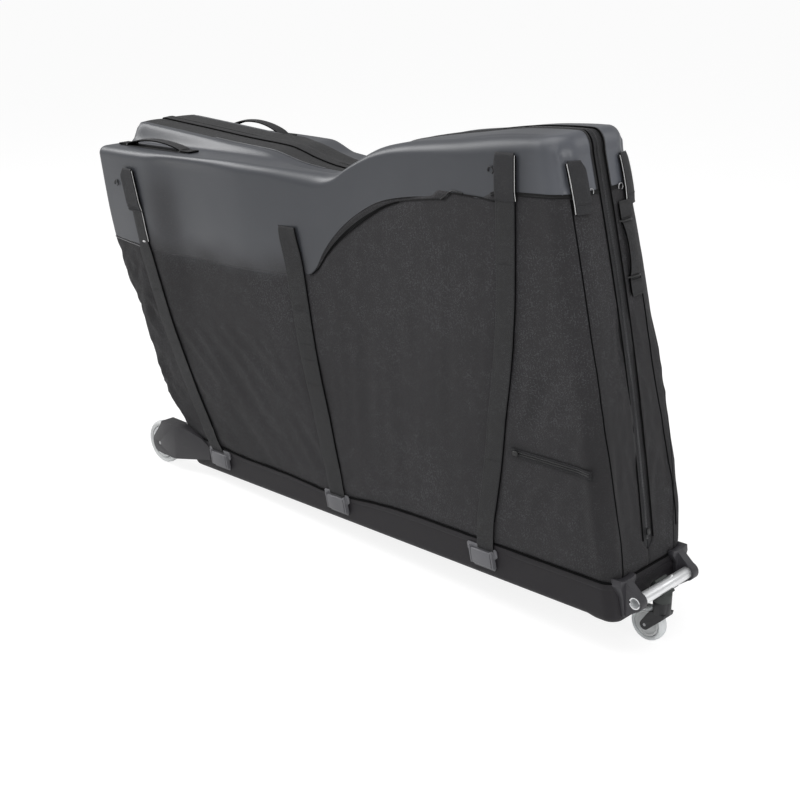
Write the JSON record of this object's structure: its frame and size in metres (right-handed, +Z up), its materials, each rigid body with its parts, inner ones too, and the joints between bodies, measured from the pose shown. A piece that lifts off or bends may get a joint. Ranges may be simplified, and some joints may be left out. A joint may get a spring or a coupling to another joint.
{
  "type": "bike travel bag",
  "caption": "Tall soft bike travel bag with moulded top shells, a zip along the middle, cam buckle straps on a coated base, rear rollers and a caster under a front pull bar.",
  "frame": {"origin": "middle of the bounding box, on the floor the rollers and the caster stand on", "axes": "+X to the pull bar end, +Y to the far side (the side with the grab handle), +Z up"},
  "size_m": [1.3938, 0.3728, 0.8826],
  "materials": {
    "aluminium": "brushed tube",
    "base_board": "stiff board",
    "bracket_plastic": "moulded nylon",
    "buckle_plastic": "moulded nylon",
    "clip_plastic": "moulded nylon",
    "coated_band": "smooth coated fabric",
    "foam": "covered foam",
    "fork_plastic": "moulded nylon",
    "glass_rod": "glass fibre rod",
    "hub_plastic": "white moulded hub",
    "moulded_shell": "satin moulded shell",
    "soft_tread": "grey polyurethane",
    "steel": "plain steel",
    "webbing": "ribbed webbing",
    "woven_fabric": "coarse woven polyester",
    "zip": "zip tape with coil teeth"
  },
  "bodies": {
    "base": {"bar_bracket_far": "bracket_plastic", "bar_bracket_near": "bracket_plastic", "base_board": "base_board", "base_tray": "coated_band", "buckle_plate_front_far": "buckle_plastic", "buckle_plate_front_near": "buckle_plastic", "buckle_plate_middle_far": "buckle_plastic", "buckle_plate_middle_near": "buckle_plastic", "buckle_plate_rear_far": "buckle_plastic", "buckle_plate_rear_near": "buckle_plastic", "caster_clip": "clip_plastic", "frame_rest": "foam", "frame_strap": "webbing", "lower_skirt": "woven_fabric", "pull_bar": "aluminium", "roller_axle_far": "steel", "roller_axle_near": "steel", "roller_housing_far": "moulded_shell", "roller_housing_near": "moulded_shell"},
    "near_half": {"carry_handle_near": "webbing", "corner_tab_near": "webbing", "pocket_zip": "zip", "side_panel_near": "woven_fabric", "side_rod_near": "glass_rod", "strap_front_near": "webbing", "strap_middle_near": "webbing", "strap_rear_near": "webbing", "top_shell_near": "moulded_shell", "top_strip_near": "woven_fabric", "zip_tape_near": "zip"},
    "far_half": {"carry_handle_far": "webbing", "corner_tab_far": "webbing", "grab_handle": "webbing", "side_panel_far": "woven_fabric", "side_rod_far": "glass_rod", "strap_front_far": "webbing", "strap_middle_far": "webbing", "strap_rear_far": "webbing", "top_shell_far": "moulded_shell", "top_strip_far": "woven_fabric", "zip_tape_far": "zip"},
    "caster_fork": {"caster_axle": "steel", "caster_fork": "fork_plastic"},
    "caster_wheel": {"caster_hub": "hub_plastic", "caster_tread": "soft_tread"},
    "lever_front_far": {"lever_front_far": "buckle_plastic"},
    "lever_front_near": {"lever_front_near": "buckle_plastic"},
    "lever_middle_far": {"lever_middle_far": "buckle_plastic"},
    "lever_middle_near": {"lever_middle_near": "buckle_plastic"},
    "lever_rear_far": {"lever_rear_far": "buckle_plastic"},
    "lever_rear_near": {"lever_rear_near": "buckle_plastic"},
    "main_slider": {"main_slider": "steel"},
    "pocket_slider": {"pocket_slider": "steel"},
    "roller_far": {"roller_hub_far": "hub_plastic", "roller_tread_far": "soft_tread"},
    "roller_near": {"roller_hub_near": "hub_plastic", "roller_tread_near": "soft_tread"}
  },
  "joints": [
    {"name": "near_half_opens", "type": "hinge", "parent": "base", "child": "near_half", "pos_m": [0.00668, -0.1194, 0.14568], "axis": [0.9989, 0, 0.0465], "range_deg": [0, 90]},
    {"name": "far_half_opens", "type": "hinge", "parent": "base", "child": "far_half", "pos_m": [0.00668, 0.1194, 0.14568], "axis": [-0.9989, 0, -0.0465], "range_deg": [0, 90]},
    {"name": "roller_near_spins", "type": "hinge", "parent": "base", "child": "roller_near", "pos_m": [-0.60753, -0.12, 0.05], "axis": [0, 1, 0], "continuous": true},
    {"name": "roller_far_spins", "type": "hinge", "parent": "base", "child": "roller_far", "pos_m": [-0.60753, 0.12, 0.05], "axis": [0, 1, 0], "continuous": true},
    {"name": "caster_swivels", "type": "hinge", "parent": "base", "child": "caster_fork", "pos_m": [0.68038, 0, 0.114], "axis": [0, 0, 1], "continuous": true},
    {"name": "caster_wheel_spins", "type": "hinge", "parent": "caster_fork", "child": "caster_wheel", "pos_m": [0.65638, 0, 0.034], "axis": [0, 1, 0], "continuous": true},
    {"name": "lever_rear_near_lifts", "type": "hinge", "parent": "base", "child": "lever_rear_near", "pos_m": [-0.41539, -0.1166, 0.07297], "axis": [-0.9989, 0, -0.0465], "range_deg": [0, 70]},
    {"name": "lever_rear_far_lifts", "type": "hinge", "parent": "base", "child": "lever_rear_far", "pos_m": [-0.41539, 0.1166, 0.07297], "axis": [0.9989, 0, 0.0465], "range_deg": [0, 70]},
    {"name": "lever_middle_near_lifts", "type": "hinge", "parent": "base", "child": "lever_middle_near", "pos_m": [-0.03081, -0.1166, 0.09088], "axis": [-0.9989, 0, -0.0465], "range_deg": [0, 70]},
    {"name": "lever_middle_far_lifts", "type": "hinge", "parent": "base", "child": "lever_middle_far", "pos_m": [-0.03081, 0.1166, 0.09088], "axis": [0.9989, 0, 0.0465], "range_deg": [0, 70]},
    {"name": "lever_front_near_lifts", "type": "hinge", "parent": "base", "child": "lever_front_near", "pos_m": [0.36476, -0.1166, 0.10931], "axis": [-0.9989, 0, -0.0465], "range_deg": [0, 70]},
    {"name": "lever_front_far_lifts", "type": "hinge", "parent": "base", "child": "lever_front_far", "pos_m": [0.36476, 0.1166, 0.10931], "axis": [0.9989, 0, 0.0465], "range_deg": [0, 70]},
    {"name": "main_slider_slides", "type": "slide", "parent": "far_half", "child": "main_slider", "axis": [-0.1699, 0, 0.9855], "range_m": [0, 0.12]},
    {"name": "pocket_slider_slides", "type": "slide", "parent": "near_half", "child": "pocket_slider", "axis": [0.9989, 0.0047, 0.0465], "range_m": [0, 0.11]}
  ]
}
